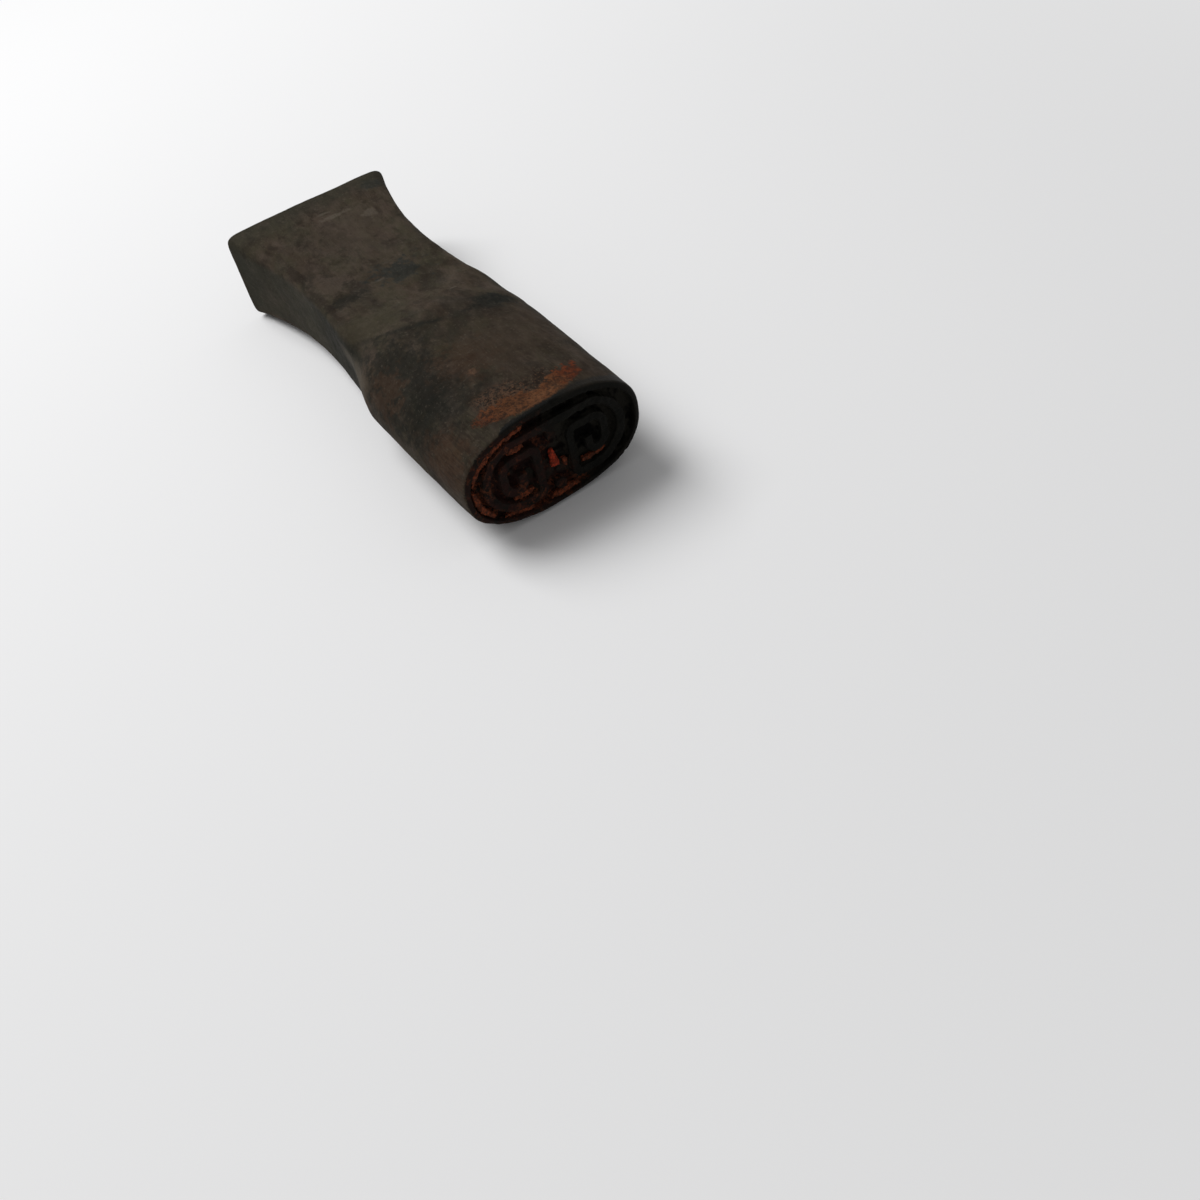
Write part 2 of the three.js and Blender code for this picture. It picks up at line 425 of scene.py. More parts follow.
# %% Sizes of the block
BLOCK_SIZES = {
    "Body length": BODY_LENGTH,
    "Shoulder to waist": SHOULDER_TO_WAIST,
    "Waist to butt": WAIST_TO_BUTT,
    "Die width": DIE_WIDTH,
    "Die height": DIE_HEIGHT,
    "Shoulder width": 37 * MM,
    "Shoulder height": 21.2 * MM,
    "Rim radius": 0.8 * MM,
    "Body roundness": BODY_ROUNDNESS,
    "Neck width": 34.8 * MM,
    "Shoulder step": 12 * MM,
    "Face slope": 18 * MM,
    "Squaring length": 18 * MM,
    "Waist width": 28.4 * MM,
    "Grip thickness": 15.8 * MM,
    "Butt width": 37.8 * MM,
    "Butt thickness": 19.7 * MM,
    "Butt edge radius": 0.5 * MM,
    "Right fill": 1.35 * MM,
    "Right fill place": 43.5 * MM,
    "Right fill reach": 9 * MM,
    "Grip squareness": 12.0,
    "Relief depth": RELIEF_DEPTH,
    "Rim width": RIM_WIDTH,
    "Wall draft": WALL_DRAFT,
}
ROUND_STEPS = 256
LENGTH_STEPS = 320
FIELD_STEPS = 192
END_CROWDING = 0.8
SQUARING_DELAY = 3
THROUGH_CUT = 1 * MM
print("sizes of the block:", len(BLOCK_SIZES))


# %% Tools that shape a tube
def tube(tree, around, lengthwise):
    """A closed cylinder of radius 1, and its points' cosine, sine and share of the length as terms."""
    made = put(tree, "GeometryNodeMeshCylinder", {"Vertices": around, "Side Segments": lengthwise,
                                                  "Radius": 1.0, "Depth": 1.0}, fill_type="NGON")
    cosine, sine, height = axes_of(first(tree, "GeometryNodeInputPosition"))
    return made.outputs["Mesh"], cosine, sine, height + 0.5


def moved_to(tree, mesh, x, y, z):
    """The mesh with each point moved to a place."""
    return first(tree, "GeometryNodeSetPosition", {"Geometry": mesh, "Position": vector(tree, x, y, z)})


def moved_by(tree, mesh, offset):
    """The mesh with each point moved by an offset."""
    return first(tree, "GeometryNodeSetPosition", {"Geometry": mesh, "Offset": offset})


def oval(unit, half, exponent):
    """Where an oval of this half size puts a cosine or a sine."""
    return half * calc("SIGN", unit) * size_of(unit) ** (2 / exponent)


def oval_measure(x, z, half_width, half_height):
    """1 on the die's oval of this half size, less inside it and more outside."""
    return (size_of(x) / half_width) ** BODY_ROUNDNESS + (size_of(z) / half_height) ** BODY_ROUNDNESS


def edge_inset(radius, depth):
    """How far a rounded edge of this radius draws in, at this depth under the face it rounds."""
    below = larger(radius - depth, 0)
    return radius - calc("SQRT", larger(radius * radius - below * below, 0))


print("tube tools are ready")


# %% The tree that carves the block
def block_tree():
    tree, given, out = new_maker("carved_block", {**BLOCK_SIZES, "Fret": "NodeSocketObject"})
    body = given["Body length"]
    waist_at = body + given["Shoulder to waist"]
    length = waist_at + given["Waist to butt"]
    heel_at = length - given["Butt edge radius"]

    mesh, cosine, sine, share = tube(tree, ROUND_STEPS, LENGTH_STEPS)
    turn = share * math.tau
    y = length * (share - calc("SINE", turn) * (END_CROWDING / math.tau))

    flare = clamped((y - waist_at) / (heel_at - waist_at))
    flare = flare * flare
    step = ease(1 - (y - body) / given["Shoulder step"])
    hollow = (waist_at - y) / given["Shoulder to waist"]
    swell = calc("SINE", clamped(y / body) * QUARTER_TURN)
    body_width = mix(given["Die width"], given["Shoulder width"], swell)
    neck_width = mix(given["Waist width"], given["Neck width"], hollow * hollow)
    neck_width = neck_width + (given["Shoulder width"] - given["Neck width"]) * step
    butt_width = mix(given["Waist width"], given["Butt width"], flare)
    on_grip = calc("GREATER_THAN", y, body)
    past_waist = calc("GREATER_THAN", y, waist_at)
    width = mix(mix(body_width, neck_width, on_grip), butt_width, past_waist)

    body_height = mix(given["Die height"], given["Shoulder height"], clamped(y / body))
    grip_height = mix(given["Grip thickness"], given["Butt thickness"], flare)
    height = mix(body_height, grip_height, ease((y - body) / given["Face slope"]))
    squared = ease((y - body) / given["Squaring length"])
    exponent = mix(given["Body roundness"], given["Grip squareness"], squared ** SQUARING_DELAY)

    inset = edge_inset(given["Rim radius"], y) + edge_inset(given["Butt edge radius"], length - y)
    x = oval(cosine, width * -0.5 + inset, exponent)
    near_fill = 1 - size_of(y - given["Right fill place"]) / given["Right fill reach"]
    fill = ease(near_fill) * given["Right fill"] * calc("GREATER_THAN", x, 0)
    x = x * (1 + fill / (width * 0.5 - inset))
    z = oval(sine, height * 0.5 - inset, exponent)
    blank = moved_to(tree, mesh, x, y, z)

    mesh, cosine, sine, share = tube(tree, FIELD_STEPS, 1)
    depth = given["Relief depth"]
    y = mix(-THROUGH_CUT, depth, share)
    margin = given["Rim width"] + given["Wall draft"] * (y / depth)
    x = oval(cosine, given["Die width"] * -0.5 + margin, given["Body roundness"])
    z = oval(sine, given["Die height"] * 0.5 - margin, given["Body roundness"])
    waste = moved_to(tree, mesh, x, y, z)

    sunk = put(tree, "GeometryNodeMeshBoolean", {"Mesh 1": blank, "Mesh 2": waste}, operation="DIFFERENCE",
               solver="MANIFOLD")
    strand = put(tree, "GeometryNodeObjectInfo", {"Object": given["Fret"]})
    plug(tree, joined(tree, strand.outputs["Geometry"], sunk.outputs["Mesh"]), out.inputs[0])
    return tree


seal = new_piece("fine_seal_block")
add_maker(seal, block_tree(), Fret=fret)
print("carving tree nodes:", len(bpy.data.node_groups["carved_block"].nodes))

# %% [markdown]
# ## Softening by a hundred years of hands
#
# Formulas make crisp, even shapes, and nothing carved by hand is crisp or even. A voxel remesh turns the
# block into one skin of small even faces, which joins the strand to the floor of the field. Then the skin
# can be worn. Broad ripples stand for the strokes of the knife, small dents for a life in a drawer, and the
# thin rim of the die gets nicks, as such rims do. All of it goes inwards, apart from rough cuts down in the
# field that stay under the face, so the seal keeps its size.

# %% Tools for noise
def noise(tree, size, seed, detail=2.0, **more):
    """Noise from 0 to 1 whose lumps are about this size. More inputs of the node go by their own names."""
    inputs = {"W": seed, "Scale": 1 / size, "Detail": detail, **more}
    return first(tree, "ShaderNodeTexNoise", inputs, noise_dimensions="4D")


def pushed(tree, mesh, amount):
    """The mesh with its skin moved along its own normals, outwards where the amount is above 0."""
    normal = first(tree, "GeometryNodeInputNormal")
    offset = first(tree, "ShaderNodeVectorMath", {0: normal, "Scale": amount}, operation="SCALE")
    return moved_by(tree, mesh, offset)


print("noise tools are ready")

# %% The tree that wears the block
WEAR_SIZES = {
    "Ripple depth": 0.22 * MM,
    "Ripple size": 9 * MM,
    "Grain depth": 0.05 * MM,
    "Grain size": 1.6 * MM,
    "Dent depth": 0.16 * MM,
    "Dent spacing": 6.5 * MM,
    "Nick depth": 0.24 * MM,
    "Nick spacing": 5 * MM,
    "Stroke wear": 0.22 * MM,
    "Stroke wear size": 2.6 * MM,
    "Cut depth": 0.20 * MM,
    "Cut size": 0.8 * MM,
    "Seed": 7.0,
}
WEAR_LEVEL = 0.6
DENT_SHARE = 0.55
DENT_REACH = 0.22
SMALLEST_DENT = 0.3
NO_DENT = 0.001
NICK_BELOW = 0.42
NICK_BLUR = 0.08
FACE_CLEARANCE = 0.04 * MM
NEAR_FACE = (0.3 * MM, 1.2 * MM)
NEAR_FLOOR = (2.0 * MM, 2.4 * MM)
RIM_RING = (0.72, 0.82)
STROKES_RING = (0.70, 0.80)
CUTS_RING = (0.80, 0.84)
RUBBED_LEVELS = (0.40, 0.65)


def wear_tree():
    tree, given, out = new_maker("worn_block", WEAR_SIZES)
    seed = given["Seed"]
    ripple = noise(tree, given["Ripple size"], seed, 1.0)
    grain = noise(tree, given["Grain size"], seed + 1, 3.0)
    cells = put(tree, "ShaderNodeTexVoronoi", {"W": seed, "Scale": 1 / given["Dent spacing"]},
                voronoi_dimensions="4D")
    chance, spread, _ = axes_of(Term(tree, cells.outputs["Color"]))
    reach = calc("GREATER_THAN", chance, DENT_SHARE)
    reach = reach * DENT_REACH * (SMALLEST_DENT + spread) + NO_DENT
    dent = ease(1 - Term(tree, cells.outputs["Distance"]) / reach)
    sunk = clamped(ripple * 2 - WEAR_LEVEL) * given["Ripple depth"] + dent * given["Dent depth"]
    sunk = sunk + clamped(grain * 2 - WEAR_LEVEL) * given["Grain depth"]
    skin = pushed(tree, given["Geometry"], sunk * -1)

    x, y, z = axes_of(first(tree, "GeometryNodeInputPosition"))
    nick = fall(noise(tree, given["Nick spacing"], seed + 2, 3.0), NICK_BELOW - NICK_BLUR, NICK_BELOW)
    edge = oval_measure(x, z, DIE_WIDTH / 2, DIE_HEIGHT / 2)
    near_face = fall(y, *NEAR_FACE)
    on_rim = rise(edge, *RIM_RING) * near_face
    on_strokes = fall(edge, *STROKES_RING) * near_face
    rubbed = rise(noise(tree, given["Stroke wear size"], seed + 3), *RUBBED_LEVELS)
    sunk_face = nick * on_rim * given["Nick depth"] + rubbed * on_strokes * given["Stroke wear"]
    nicked = moved_by(tree, skin, vector(tree, y=sunk_face))
    in_field = fall(edge, *CUTS_RING) * fall(y, *NEAR_FLOOR)
    cut = (noise(tree, given["Cut size"], seed + 4) - 0.5) * 2 * given["Cut depth"] * in_field
    carved = pushed(tree, nicked, cut)
    plug(tree, moved_to(tree, carved, x, larger(y, FACE_CLEARANCE), z), out.inputs[0])
    return tree


wear_maker = wear_tree()
print("wear tree nodes:", len(wear_maker.nodes))

# %% Remesh, soften, wear and thin out
SKIN_VOXEL = 0.2 * MM
SOFTENING = 0.5
SOFTENING_ROUNDS = 2
KEPT_SHARE = 0.3

skin = seal.modifiers.new("skin", "REMESH")
skin.mode = "VOXEL"
skin.voxel_size = SKIN_VOXEL
skin.use_smooth_shade = True
soften = seal.modifiers.new("soften", "SMOOTH")
soften.factor = SOFTENING
soften.iterations = SOFTENING_ROUNDS
add_maker(seal, wear_maker)
thin = seal.modifiers.new("thin_out", "DECIMATE")
thin.ratio = KEPT_SHARE
print("modifiers on the block:", [modifier.name for modifier in seal.modifiers])

# %% [markdown]
# ## Marks for the finishes
#
# Wear and dirt follow the shape: edges that stand out are rubbed pale, and hollows stay dark. The last tree
# on the block measures that. It blurs the place of every point over its neighbours and looks how far the
# point stands out from that average along its normal. The result goes into an attribute that the finishes
# read. The same tree gives the block its two finishes, one for the wood and one for the inked die.

# %% The tree that marks edges and hands out finishes
MARK_SIZES = {
    "Blur rounds": 10,
    "Full mark": 0.10 * MM,
    "Face depth": 0.35 * MM,
}
EDGE_MARK = "stands_out"
FIELD_EDGE = 1.04
FIELD_DEPTH = 1.3


def marks_tree():
    finishes = {"Outside": "NodeSocketMaterial", "Die": "NodeSocketMaterial"}
    tree, given, out = new_maker("surface_marks", {**MARK_SIZES, **finishes})
    place = first(tree, "GeometryNodeInputPosition")
    blurred = first(tree, "GeometryNodeBlurAttribute", {0: place, "Iterations": given["Blur rounds"]},
                    data_type="FLOAT_VECTOR")
    lift = first(tree, "ShaderNodeVectorMath", {0: place, 1: blurred}, operation="SUBTRACT")
    normal = first(tree, "GeometryNodeInputNormal")
    height = put(tree, "ShaderNodeVectorMath", {0: lift, 1: normal}, operation="DOT_PRODUCT")
    mark = Term(tree, height.outputs["Value"]) / given["Full mark"]
    stored = first(tree, "GeometryNodeStoreNamedAttribute",
                   {"Geometry": given["Geometry"], "Name": EDGE_MARK, "Value": mark},
                   data_type="FLOAT", domain="POINT")

    x, y, z = axes_of(place)
    ring = oval_measure(x, z, field_half_width, field_half_height)
    in_field = calc("LESS_THAN", ring, FIELD_EDGE) * calc("LESS_THAN", y, RELIEF_DEPTH * FIELD_DEPTH)
    on_die = larger(in_field, calc("LESS_THAN", y, given["Face depth"]))
    outside = first(tree, "GeometryNodeSetMaterial", {"Geometry": stored, "Material": given["Outside"]})
    finished = first(tree, "GeometryNodeSetMaterial",
                     {"Geometry": outside, "Selection": on_die, "Material": given["Die"]})
    plug(tree, finished, out.inputs[0])
    return tree


marks_maker = marks_tree()
print("marks tree nodes:", len(marks_maker.nodes))

# %% [markdown]
# ## Effects that several finishes share
#
# Four effects come up again and again, so each is a node group with named inputs. `soft_blotches` gives a
# mask of soft patches, such as old stains. `dry_grit` gives the crumbs of dried pigment as a height and a
# mask. `fine_scratches` gives thin marks that all run roughly one way. `placed_stain` gives one oval
# mark with a torn border at a given spot: mostly a stain, and once a patch of painted shade. They put out
# only masks and heights; the shader stays in each material.

# %% Shared effects
DUST_PER_GRAIN = 2.5
SCRATCH_BLUR = 0.04
RAG_SIZE = 1 / 0.55


def new_effect(name, inputs, outputs):
    """A shader node group whose outputs are plain numbers."""
    inputs = {"Place": "NodeSocketVector", **inputs}
    return new_tree("ShaderNodeTree", name, inputs, {label: "NodeSocketFloat" for label in outputs})


def blotches_effect():
    inputs = {"Size": 4.0, "Level": 0.5, "Softness": 0.1, "Detail": 4.0, "Seed": 0.0}
    tree, given, out = new_effect("soft_blotches", inputs, ["Mask"])
    clouds = noise(tree, given["Size"], given["Seed"], given["Detail"], Vector=given["Place"],
                   Roughness=0.6, Distortion=0.4)
    mask = rise(clouds, given["Level"] - given["Softness"], given["Level"] + given["Softness"])
    plug(tree, mask, out.inputs["Mask"])
    return tree


def grit_effect():
    inputs = {"Size": 0.4, "Seed": 0.0}
    tree, given, out = new_effect("dry_grit", inputs, ["Height", "Specks"])
    grains = put(tree, "ShaderNodeTexVoronoi", {"Vector": given["Place"], "W": given["Seed"],
                                                "Scale": 1 / given["Size"]}, voronoi_dimensions="4D")
    dust = noise(tree, given["Size"] / DUST_PER_GRAIN, given["Seed"], 3.0, Vector=given["Place"])
    distance = Term(tree, grains.outputs["Distance"])
    chance = first(tree, "ShaderNodeSeparateColor", {0: grains.outputs["Color"]})
    plug(tree, (1 - clamped(distance)) * 0.6 + dust * 0.4, out.inputs["Height"])
    plug(tree, rise(chance * 0.7 + dust * 0.6, 0.55, 0.75), out.inputs["Specks"])
    return tree


def scratches_effect():
    inputs = {"Length": 6.0, "Width": 0.25, "Share": 0.3, "Seed": 0.0}
    tree, given, out = new_effect("fine_scratches", inputs, ["Mask"])
    squeeze = vector(tree, 1 / given["Width"], 1 / given["Length"], 1 / given["Width"])
    place = first(tree, "ShaderNodeVectorMath", {0: given["Place"], 1: squeeze}, operation="MULTIPLY")
    streaks = noise(tree, 1.0, given["Seed"], Vector=place, Distortion=0.6)
    top = 0.72 - given["Share"] * 0.4
    plug(tree, rise(streaks, top - SCRATCH_BLUR, top + SCRATCH_BLUR), out.inputs["Mask"])
    return tree


def stain_and_shade_effect():
    inputs = {"At X": 0.0, "At Y": 0.0, "Reach X": 3.0, "Reach Y": 3.0, "Raggedness": 0.8, "Seed": 0.0}
    tree, given, out = new_effect("placed_stain", inputs, ["Mask"])
    x, y, z = axes_of(given["Place"])
    away = ((x - given["At X"]) / given["Reach X"]) ** 2 + ((y - given["At Y"]) / given["Reach Y"]) ** 2
    rag = noise(tree, RAG_SIZE, given["Seed"], 5.0, Vector=given["Place"], Roughness=0.65)
    edge = away ** 0.5 + (rag - 0.5) * 3 * given["Raggedness"]
    plug(tree, fall(edge, 0.45, 1.15) * rise(z, -2.0, 2.0), out.inputs["Mask"])
    return tree


EFFECTS = {
    "blotches": blotches_effect(),
    "grit": grit_effect(),
    "scratches": scratches_effect(),
    "stain": stain_and_shade_effect(),
}
print("shared effects:", sorted(EFFECTS))

# %% Tools for finishes
def new_finish(name):
    """An empty material: the material, its Principled shader, and the place on the seal in mm."""
    finish = bpy.data.materials.new(name)
    finish.use_nodes = True
    tree = finish.node_tree
    shader = tree.nodes["Principled BSDF"]
    here = put(tree, "ShaderNodeTexCoord").outputs["Object"]
    straight = SEAL_TO_PART.inverted()
    to_seal = first(tree, "ShaderNodeMapping", {"Vector": here, "Rotation": straight.to_euler(),
                                                "Location": straight.translation * MM_PER_METRE,
                                                "Scale": (MM_PER_METRE,) * 3}, vector_type="POINT")
    return finish, shader, to_seal


def effect(kind, place, **values):
    """One of the shared effects, its inputs written with _ for each space: its outputs by name, as terms."""
    node = put(place.tree, "ShaderNodeGroup", node_tree=EFFECTS[kind])
    named = {label.replace("_", " "): value for label, value in values.items()}
    fill(place.tree, node, {"Place": place, **named})
    return {socket.name: Term(place.tree, socket) for socket in node.outputs}


def blotches(place, size, level, softness=0.08, seed=0.0, detail=4.0):
    return effect("blotches", place, Size=size, Level=level, Softness=softness, Seed=seed,
                  Detail=detail)["Mask"]


def paint(under, over, mask):
    """One colour laid over another where a mask is above 0. A colour is three linear numbers or a term."""
    node = put(mask.tree, "ShaderNodeMix", {"Factor": mask}, data_type="RGBA")
    colours = [socket for socket in node.inputs if socket.type == "RGBA"]
    for value, socket in zip((under, over), colours):
        plug(mask.tree, (*value, 1) if isinstance(value, tuple) else value, socket)
    return Term(mask.tree, [socket for socket in node.outputs if socket.type == "RGBA"][0])


def surface(shader, tone, roughness, shine, height, depth):
    """Fills a shader. Its bumps are a height from 0 to 1 times a depth in metres."""
    bumps = first(height.tree, "ShaderNodeBump", {"Height": height, "Distance": depth, "Strength": 1.0})
    fill(height.tree, shader, {"Base Color": tone, "Roughness": roughness, "Specular IOR Level": shine,
                               "Normal": bumps})


def edge_mark(tree):
    """How far the surface stands out: above 0 on edges, below 0 in hollows."""
    return Term(tree, put(tree, "ShaderNodeAttribute", attribute_name=EDGE_MARK).outputs["Fac"])


print("finish tools are ready")

# %% [markdown]
# ## The wood
#
# The wood is nearly black from ink and hands, but it isn't one colour. Under the grime it is brown, and
# where palms have rubbed it, it is a dusty olive or a pinkish grey. So a few blotch masks of different
# sizes lay one dull tone over another, each a little longer along the grain. Near the die there is more to
# see: a band of ink that fades into the wood, and above it a patch where red-brown paste was rubbed in.

# %% Colours of the wood
BROWN = (0.0385, 0.0280, 0.0190)
DARK_BROWN = (0.0130, 0.0085, 0.0058)
OLIVE = (0.0380, 0.0325, 0.0200)
PINK_GREY = (0.0640, 0.0470, 0.0360)
GREEN_BLACK = (0.0078, 0.0081, 0.0062)
SLATE = (0.0165, 0.0190, 0.0172)
PALE_DUST_AND_HIGHLIGHT = (0.1050, 0.0880, 0.0680)
RUST = (0.0420, 0.0225, 0.0130)
OCHRE = (0.0980, 0.0365, 0.0150)
RED_OCHRE = (0.1120, 0.0270, 0.0100)
TAN = (0.0850, 0.0470, 0.0290)
INK = (0.0042, 0.0040, 0.0034)
MOSS_GREY = (0.0285, 0.0280, 0.0205)
SAND = (0.1600, 0.0760, 0.0370)
ALONG_GRAIN = (1.0, 0.55, 1.0)
WOOD_GRAIN = 0.06 * MM
WOOD_SHINE = 0.03
print("deepest bump on the wood in mm:", WOOD_GRAIN / MM)

# %% [markdown]
# Some stains sit in one spot on the real seal, so they are listed with their place and reach in the seal's
# millimetres: x across, y from the die. Each one is a soft oval whose border is torn by noise. The dark one
# at the right of the shoulder is not a stain but painted shade.

# %% Stains, and one painted shade, that have a place
STAINS_AND_SHADE = [
    # x, y, reach x, reach y, colour, strength, raggedness
    (-12.5, 26.0, 8.0, 16.0, GREEN_BLACK, 0.82, 0.9),
    (-9.0, 46.0, 8.0, 6.5, OLIVE, 0.75, 0.8),
    (-3.0, 21.0, 7.5, 6.5, RUST, 0.45, 1.0),
    (6.0, 22.0, 9.0, 8.0, BROWN, 0.50, 0.8),
    # painted shade at the right of the shoulder, not a stain
    (10.5, 34.6, 5.2, 3.2, GREEN_BLACK, 1.00, 0.7),
    (2.8, 59.6, 6.0, 4.6, SLATE, 0.80, 1.5),
    (4.0, 57.5, 3.0, 2.0, GREEN_BLACK, 0.45, 1.4),
    (-9.0, 58.0, 5.5, 2.2, GREEN_BLACK, 0.75, 0.9),
    (-12.6, 74.5, 1.3, 5.0, DARK_BROWN, 0.75, 0.8),
    (-15.6, 28.6, 3.4, 5.0, RUST, 0.50, 1.6),
    (-16.2, 6.5, 4.0, 7.0, RUST, 0.60, 1.2),
    (3.0, 80.0, 12.0, 12.0, PINK_GREY, 0.35, 1.2),
    (14.2, 92.6, 2.6, 2.4, SLATE, 0.80, 0.8),
    (9.1, 83.1, 2.2, 1.6, PALE_DUST_AND_HIGHLIGHT, 0.38, 1.0),
    (2.8, 87.5, 3.6, 0.8, PALE_DUST_AND_HIGHLIGHT, 0.45, 1.2),
    (1.0, 89.8, 1.9, 0.5, PALE_DUST_AND_HIGHLIGHT, 0.50, 1.0),
    (-1.2, 59.4, 1.6, 0.6, PALE_DUST_AND_HIGHLIGHT, 0.40, 1.0),
    (7.2, 43.7, 0.9, 0.4, PALE_DUST_AND_HIGHLIGHT, 0.40, 0.6),
    (-3.9, 17.2, 0.9, 1.1, TAN, 0.85, 1.5),
    (-11.0, 15.0, 6.0, 8.0, GREEN_BLACK, 0.55, 1.2),
    (-15.0, 91.5, 3.0, 2.0, DARK_BROWN, 0.45, 1.2),
    (-9.0, 66.0, 3.5, 4.5, PINK_GREY, 0.55, 1.3),
    (-12.9, 60.0, 0.9, 7.0, DARK_BROWN, 0.60, 0.7),
]
STAIN_SEED = 1.3
print("stains with a place:", len(STAINS_AND_SHADE))


# %% The grime, and one painted shade
def wood_clouds(place):
    """Three clouds of noise, from coarse to fine, that tear the borders of the other layers."""
    wander = blotches(place, 2.2, 0.5, 0.30, 9)
    torn = blotches(place, 0.9, 0.5, 0.16, 10, 6.0)
    crumbs = blotches(place, 0.45, 0.5, 0.14, 16, 5.0)
    return wander, torn, crumbs


def grime_and_shade_on_wood(place):
    """Brown wood under dull patches of several tones, with the stains and one patch of painted shade on top.
    """
    _, y, _ = axes_of(place)
    grain = first(place.tree, "ShaderNodeMapping", {"Vector": place, "Scale": ALONG_GRAIN},
                  vector_type="POINT")
    tone = paint(BROWN, OLIVE, blotches(grain, 9, 0.50, 0.08, 1, 6.0))
    tone = paint(tone, PINK_GREY, blotches(grain, 3.4, 0.54, 0.12, 2, 5.0) * 0.70)
    tone = paint(tone, GREEN_BLACK, blotches(grain, 6, 0.54, 0.08, 3, 6.0) * 0.55)
    tone = paint(tone, OLIVE, blotches(grain, 5, 0.55, 0.10, 5) * rise(y, 36, 50) * 0.6)
    tone = paint(tone, DARK_BROWN, blotches(grain, 2.1, 0.56, 0.12, 7) * 0.62)
    tone = paint(tone, DARK_BROWN, fall(y, 26, 44) * 0.22)
    for number, (at_x, at_y, reach_x, reach_y, colour, strength, ragged) in enumerate(STAINS_AND_SHADE):
        mask = effect("stain", place, At_X=at_x, At_Y=at_y, Reach_X=reach_x, Reach_Y=reach_y,
                      Raggedness=ragged, Seed=number * STAIN_SEED)["Mask"]
        tone = paint(tone, colour, mask * strength)
    return tone


print("patches are", round(1 / ALONG_GRAIN[1], 2), "times as long along the grain")

# %% [markdown]
# Then comes what follows the shape. The flanks and the butt are a mossy grey, a painted highlight lies low
# on the left of the shoulder, and painted shade darkens the crease where the body turns into the grip.
# Scratches are dark, edges are dusty, and hollows are nearly black.

# %% Flanks, crease, scratches and edges
CREASE_AT = 34.5
MOSS_FROM = 90.0


def flank_and_crease(place, tone, wander):
    x, y, z = axes_of(place)
    tone = paint(tone, MOSS_GREY, rise(y + wander * 1.5, MOSS_FROM, 96.0) * mix(0.30, 0.75, wander))
    flank = fall(size_of(z), 5.6, 7.4) * rise(y, 38, 46) * fall(y, 94.5, 96.0)
    tone = paint(tone, MOSS_GREY, flank * mix(0.45, 0.85, wander))
    tone = paint(tone, GREEN_BLACK, flank * fall(y, 56, 74) * 0.78)
    # A pale strip low on the left flank behind the shoulder is a painted highlight, where the side catches
    # the light.
    highlight_strip = fall(size_of(z - 3.2 + (y - 43) * 0.05), 0.8, 2.6) * rise(y, 33, 37)
    highlight_strip = highlight_strip * fall(y, 49, 54) * fall(x, -14, -12)
    tone = paint(tone, PALE_DUST_AND_HIGHLIGHT, highlight_strip * mix(0.18, 0.58, wander))
    # Painted shade: the crease where the body turns into the grip is darkened.
    crease = size_of(y - (CREASE_AT - x * 0.35 + x * x * 0.025) + wander * 0.8 - 0.4)
    crease = fall(crease, 0.1, 1.5) * rise(z, 5.0, 8.0)
    return paint(tone, GREEN_BLACK, crease * mix(0.35, 0.85, blotches(place, 5, 0.5, 0.1, 14)))


def scratches_and_edges(place, tone, torn):
    _, y, _ = axes_of(place)
    stands_out = edge_mark(place.tree)
    fine = effect("scratches", place, Length=4.0, Width=0.45, Share=0.5, Seed=4.0)["Mask"]
    tone = paint(tone, DARK_BROWN, fine * mix(0.45, 0.12, rise(y, 4, 16)))
    tone = paint(tone, PALE_DUST_AND_HIGHLIGHT, torn * blotches(place, 7, 0.47, 0.10, 6) * 0.10)
    tone = paint(tone, PALE_DUST_AND_HIGHLIGHT, blotches(place, 0.45, 0.66, 0.03, 15, 1.0) * 0.18)
    tone = paint(tone, PALE_DUST_AND_HIGHLIGHT, rise(stands_out, 0.4, 1.6) * 0.12)
    return paint(tone, GREEN_BLACK, rise(stands_out * -1, 0.2, 1.2) * 0.6)


print("crease", CREASE_AT, "mm from the die, moss from", MOSS_FROM, "mm")

# %% [markdown]
# The rubbed patch is the liveliest spot. It lies between two curves across the top, and noise tears its
# borders. It is ochre with a sandy core, redder at both ends, flecked with dark wood, and fringed with tan
# crumbs towards the grip.

# %% The rubbed patch
PATCH_FROM = 1.0
PATCH_TO = 6.7


